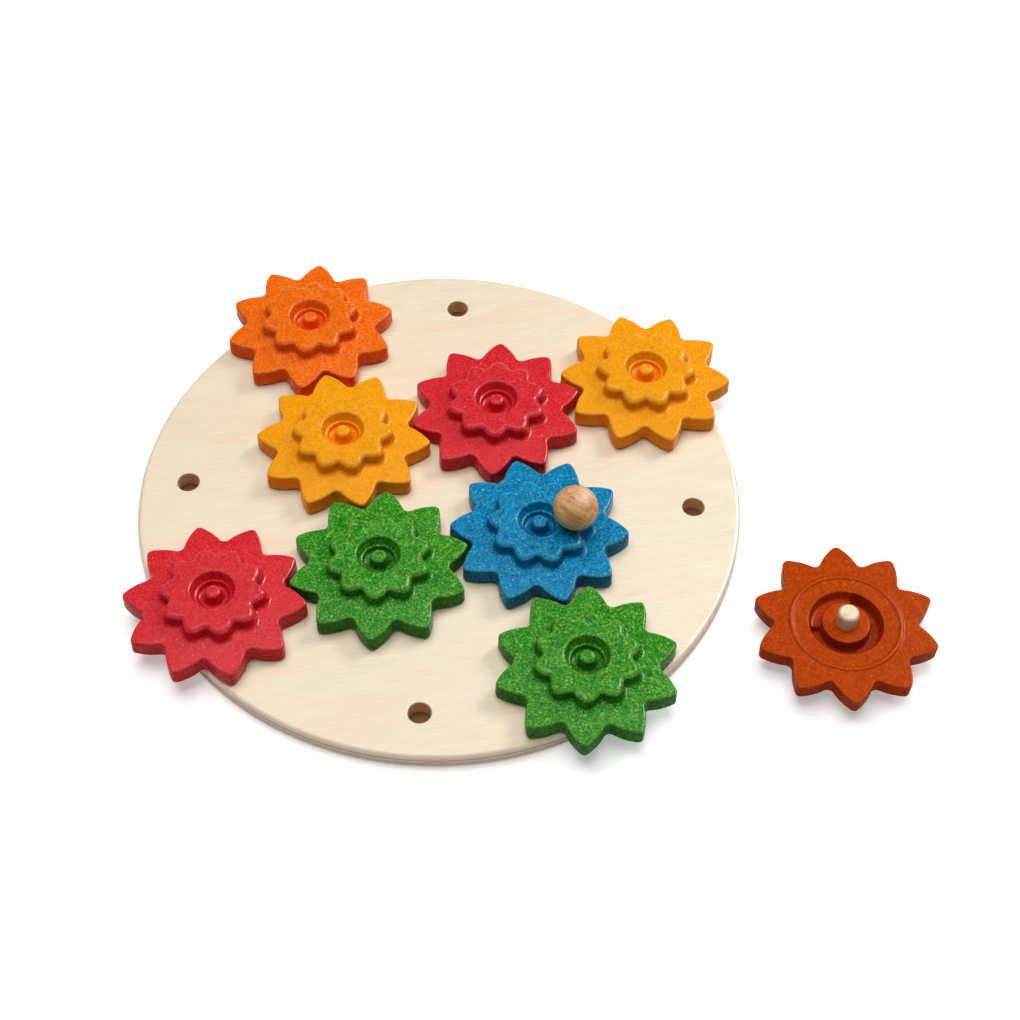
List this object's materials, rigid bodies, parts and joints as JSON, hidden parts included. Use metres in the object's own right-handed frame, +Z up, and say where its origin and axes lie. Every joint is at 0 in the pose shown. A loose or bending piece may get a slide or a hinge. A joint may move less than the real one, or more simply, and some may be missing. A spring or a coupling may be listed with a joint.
{
  "type": "crank gear toy",
  "caption": "Round wooden board with pegged flower-shaped gears in mesh; a ball handle on one gear cranks the whole train, and each gear lifts out of its hole.",
  "frame": {"origin": "centre of the board's underside, on the surface that the board lies on", "axes": "+Z up, out of the board's face; +X along a row of holes, towards the board's right as the crank stands at the front right; +Y along a column of holes, away from the user"},
  "size_m": [0.3711, 0.3331, 0.0477],
  "materials": {
    "birch_plywood": "clear satin lacquer, plies show on the edge",
    "dyed_orange": "moulded sawdust composite, dyed through, satin",
    "dyed_yellow": "moulded sawdust composite, dyed through, satin",
    "dyed_red": "moulded sawdust composite, dyed through, satin",
    "dyed_green": "moulded sawdust composite, dyed through, satin",
    "dyed_blue": "moulded sawdust composite, dyed through, satin",
    "dyed_burnt_orange": "moulded sawdust composite, dyed through, satin",
    "beech_dowel": "bare fluted dowel",
    "rubberwood_ball": "turned and sanded, thin clear lacquer"
  },
  "bodies": {
    "board": {"board": "birch_plywood"},
    "peg_blue": {"peg_blue": "beech_dowel"},
    "gear_blue": {"gear_blue": "dyed_blue", "crank_stem": "beech_dowel", "crank_ball": "rubberwood_ball"},
    "peg_orange": {"peg_orange": "beech_dowel"},
    "gear_orange": {"gear_orange": "dyed_orange"},
    "peg_yellow_inner": {"peg_yellow_inner": "beech_dowel"},
    "gear_yellow_inner": {"gear_yellow_inner": "dyed_yellow"},
    "peg_red_inner": {"peg_red_inner": "beech_dowel"},
    "gear_red_inner": {"gear_red_inner": "dyed_red"},
    "peg_yellow_outer": {"peg_yellow_outer": "beech_dowel"},
    "gear_yellow_outer": {"gear_yellow_outer": "dyed_yellow"},
    "peg_green_inner": {"peg_green_inner": "beech_dowel"},
    "gear_green_inner": {"gear_green_inner": "dyed_green"},
    "peg_red_outer": {"peg_red_outer": "beech_dowel"},
    "gear_red_outer": {"gear_red_outer": "dyed_red"},
    "peg_green_outer": {"peg_green_outer": "beech_dowel"},
    "gear_green_outer": {"gear_green_outer": "dyed_green"},
    "spare": {"gear_spare": "dyed_burnt_orange", "peg_spare": "beech_dowel"}
  },
  "joints": [
    {"name": "blue_lift", "type": "slide", "parent": "board", "child": "peg_blue", "axis": [0, 0, 1], "range_m": [0, 0.05]},
    {"name": "crank_spin", "type": "hinge", "parent": "peg_blue", "child": "gear_blue", "pos_m": [0.04, -0.04, 0.009], "axis": [0, 0, 1], "continuous": true},
    {"name": "orange_lift", "type": "slide", "parent": "board", "child": "peg_orange", "axis": [0, 0, 1], "range_m": [0, 0.05]},
    {"name": "orange_spin", "type": "hinge", "parent": "peg_orange", "child": "gear_orange", "pos_m": [-0.04, 0.12, 0.009], "axis": [0, 0, 1], "continuous": true},
    {"name": "yellow_inner_lift", "type": "slide", "parent": "board", "child": "peg_yellow_inner", "axis": [0, 0, 1], "range_m": [0, 0.05]},
    {"name": "yellow_inner_spin", "type": "hinge", "parent": "peg_yellow_inner", "child": "gear_yellow_inner", "pos_m": [-0.04, 0.04, 0.009], "axis": [0, 0, 1], "continuous": true},
    {"name": "red_inner_lift", "type": "slide", "parent": "board", "child": "peg_red_inner", "axis": [0, 0, 1], "range_m": [0, 0.05]},
    {"name": "red_inner_spin", "type": "hinge", "parent": "peg_red_inner", "child": "gear_red_inner", "pos_m": [0.04, 0.04, 0.009], "axis": [0, 0, 1], "continuous": true},
    {"name": "yellow_outer_lift", "type": "slide", "parent": "board", "child": "peg_yellow_outer", "axis": [0, 0, 1], "range_m": [0, 0.05]},
    {"name": "yellow_outer_spin", "type": "hinge", "parent": "peg_yellow_outer", "child": "gear_yellow_outer", "pos_m": [0.12, 0.04, 0.009], "axis": [0, 0, 1], "continuous": true},
    {"name": "green_inner_lift", "type": "slide", "parent": "board", "child": "peg_green_inner", "axis": [0, 0, 1], "range_m": [0, 0.05]},
    {"name": "green_inner_spin", "type": "hinge", "parent": "peg_green_inner", "child": "gear_green_inner", "pos_m": [-0.04, -0.04, 0.009], "axis": [0, 0, 1], "continuous": true},
    {"name": "red_outer_lift", "type": "slide", "parent": "board", "child": "peg_red_outer", "axis": [0, 0, 1], "range_m": [0, 0.05]},
    {"name": "red_outer_spin", "type": "hinge", "parent": "peg_red_outer", "child": "gear_red_outer", "pos_m": [-0.12, -0.04, 0.009], "axis": [0, 0, 1], "continuous": true},
    {"name": "green_outer_lift", "type": "slide", "parent": "board", "child": "peg_green_outer", "axis": [0, 0, 1], "range_m": [0, 0.05]},
    {"name": "green_outer_spin", "type": "hinge", "parent": "peg_green_outer", "child": "gear_green_outer", "pos_m": [0.04, -0.12, 0.009], "axis": [0, 0, 1], "continuous": true},
    {"name": "spare_lift", "type": "slide", "parent": "board", "child": "spare", "axis": [0, 0, 1], "range_m": [0, 0.05]}
  ],
  "couplings": [
    {"joint": "orange_spin", "follows": "crank_spin", "ratio": -1},
    {"joint": "yellow_inner_spin", "follows": "crank_spin", "ratio": 1},
    {"joint": "red_inner_spin", "follows": "crank_spin", "ratio": -1},
    {"joint": "yellow_outer_spin", "follows": "crank_spin", "ratio": 1},
    {"joint": "green_inner_spin", "follows": "crank_spin", "ratio": -1},
    {"joint": "red_outer_spin", "follows": "crank_spin", "ratio": 1},
    {"joint": "green_outer_spin", "follows": "crank_spin", "ratio": -1}
  ]
}
